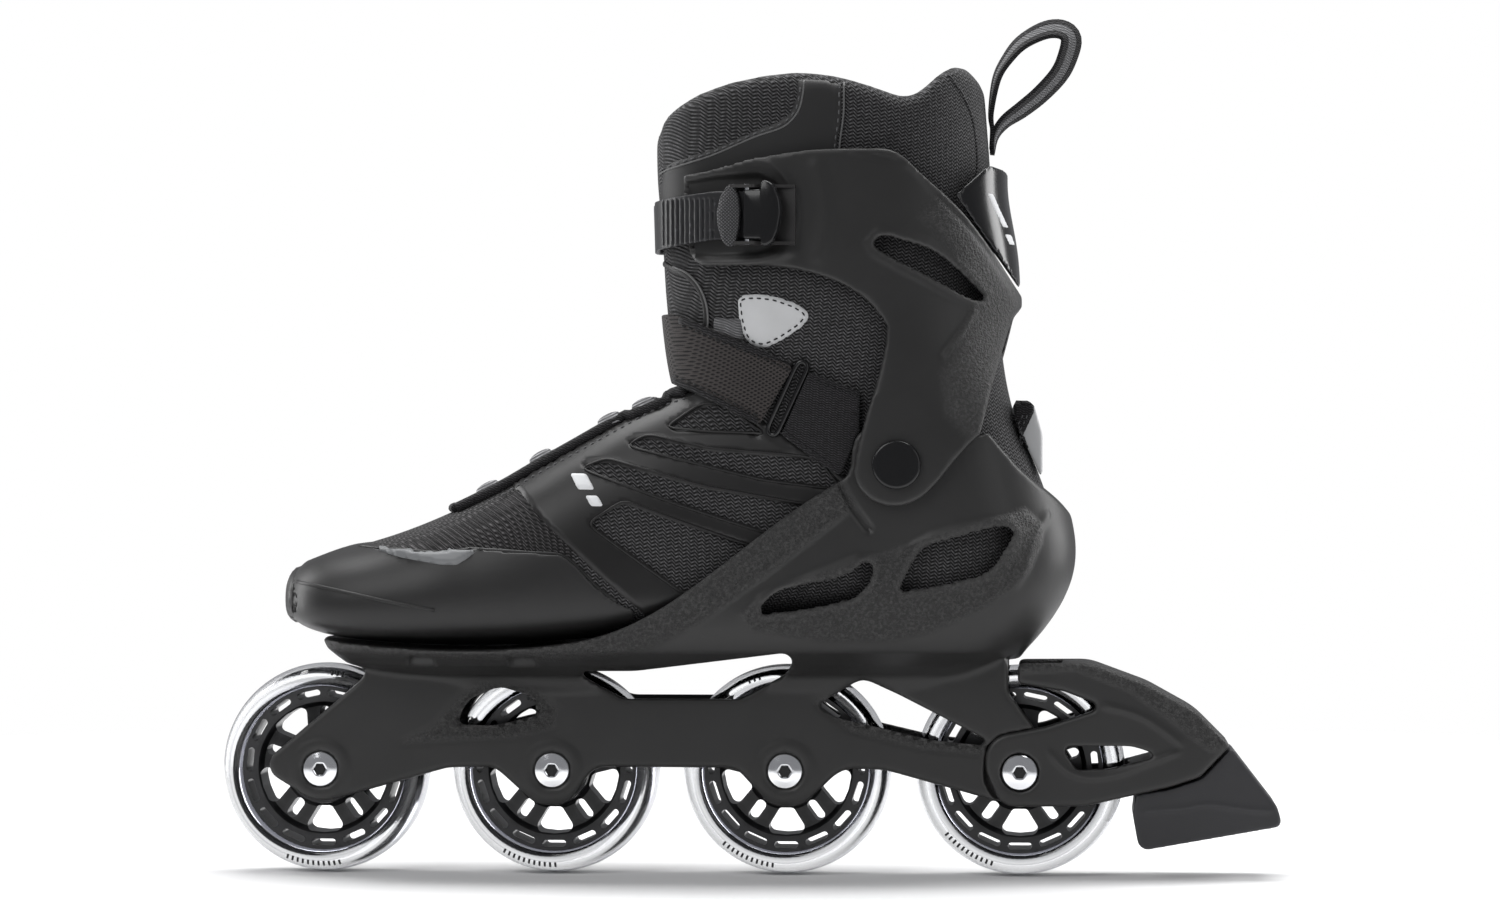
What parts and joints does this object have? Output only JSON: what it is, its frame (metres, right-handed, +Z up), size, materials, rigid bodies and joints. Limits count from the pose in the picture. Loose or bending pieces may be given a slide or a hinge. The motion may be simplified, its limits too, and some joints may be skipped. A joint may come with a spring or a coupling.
{
  "type": "inline skate",
  "caption": "Left inline skate with a soft laced boot, hinged cuff with ratchet buckle, instep strap, moulded frame, clear wheels in a row and a heel brake",
  "frame": {"origin": "on the ground under the middle of the wheelbase, in the plane of the wheels", "axes": "+Z up, +X from the toe to the heel, +Y towards the inner side of the foot"},
  "size_m": [0.4055, 0.1126, 0.3249],
  "materials": {
    "shell_plastic": "satin, fine grain",
    "gloss_plastic": "glossy",
    "strap_plastic": "satin",
    "toe_plastic": "satin film on fabric",
    "mesh_fabric": "knitted mesh",
    "webbing": "woven",
    "lace": "braided",
    "chromed_steel": "bright",
    "bearing_steel": "ground",
    "hub_plastic": "satin",
    "clear_tyre": "clear cast polyurethane",
    "brake_rubber": "matte"
  },
  "bodies": {
    "chassis": {"frame_shell": "shell_plastic", "boot_upper": "mesh_fabric", "tongue": "mesh_fabric", "toe_cap": "toe_plastic", "overlay_lateral": "toe_plastic", "overlay_medial": "toe_plastic", "insole": "mesh_fabric", "heel_tab": "webbing", "power_strap": "webbing", "anchor_webbing": "webbing", "strap_ring": "bearing_steel", "laces": "lace", "pivot_bolts": "bearing_steel", "pivot_caps": "gloss_plastic", "brake_arm": "shell_plastic", "brake_pad": "brake_rubber", "axle_bolts": "chromed_steel", "axle_screws": "chromed_steel", "bearing_spacers": "bearing_steel", "bearing_inner_rings": "bearing_steel"},
    "cuff": {"cuff": "shell_plastic", "cuff_back_panel": "gloss_plastic", "collar": "mesh_fabric", "pull_loop": "webbing", "ladder_strap": "strap_plastic", "buckle_base": "strap_plastic", "buckle_pins": "bearing_steel", "pawl_spring": "bearing_steel", "ladder_strap_bolt": "chromed_steel"},
    "lever": {"buckle_lever": "gloss_plastic"},
    "release": {"buckle_pawl": "strap_plastic"},
    "wheel_1": {"hub_1": "hub_plastic", "tyre_1": "clear_tyre", "bearings_1": "bearing_steel", "bearing_balls_1": "bearing_steel"},
    "wheel_2": {"hub_2": "hub_plastic", "tyre_2": "clear_tyre", "bearings_2": "bearing_steel", "bearing_balls_2": "bearing_steel"},
    "wheel_3": {"hub_3": "hub_plastic", "tyre_3": "clear_tyre", "bearings_3": "bearing_steel", "bearing_balls_3": "bearing_steel"},
    "wheel_4": {"hub_4": "hub_plastic", "tyre_4": "clear_tyre", "bearings_4": "bearing_steel", "bearing_balls_4": "bearing_steel"}
  },
  "joints": [
    {"name": "wheel_1_spin", "type": "hinge", "parent": "chassis", "child": "wheel_1", "pos_m": [-0.1335, 0, 0.04], "axis": [0, 1, 0], "continuous": true},
    {"name": "wheel_2_spin", "type": "hinge", "parent": "chassis", "child": "wheel_2", "pos_m": [-0.0445, 0, 0.04], "axis": [0, 1, 0], "continuous": true},
    {"name": "wheel_3_spin", "type": "hinge", "parent": "chassis", "child": "wheel_3", "pos_m": [0.0445, 0, 0.04], "axis": [0, 1, 0], "continuous": true},
    {"name": "wheel_4_spin", "type": "hinge", "parent": "chassis", "child": "wheel_4", "pos_m": [0.1335, 0, 0.04], "axis": [0, 1, 0], "continuous": true},
    {"name": "cuff_flex", "type": "hinge", "parent": "chassis", "child": "cuff", "pos_m": [0.088, 0, 0.1565], "axis": [0, 1, 0], "range_deg": [-12, 4]},
    {"name": "buckle_lever_open", "type": "hinge", "parent": "cuff", "child": "lever", "pos_m": [0.03268, -0.05411, 0.2496], "axis": [0, 0, -1], "range_deg": [0, 75]},
    {"name": "buckle_release", "type": "hinge", "parent": "cuff", "child": "release", "pos_m": [0.02726, -0.05265, 0.2496], "axis": [0, 0, -1], "range_deg": [0, 16], "stiffness_Nm_per_rad": 0.05}
  ]
}
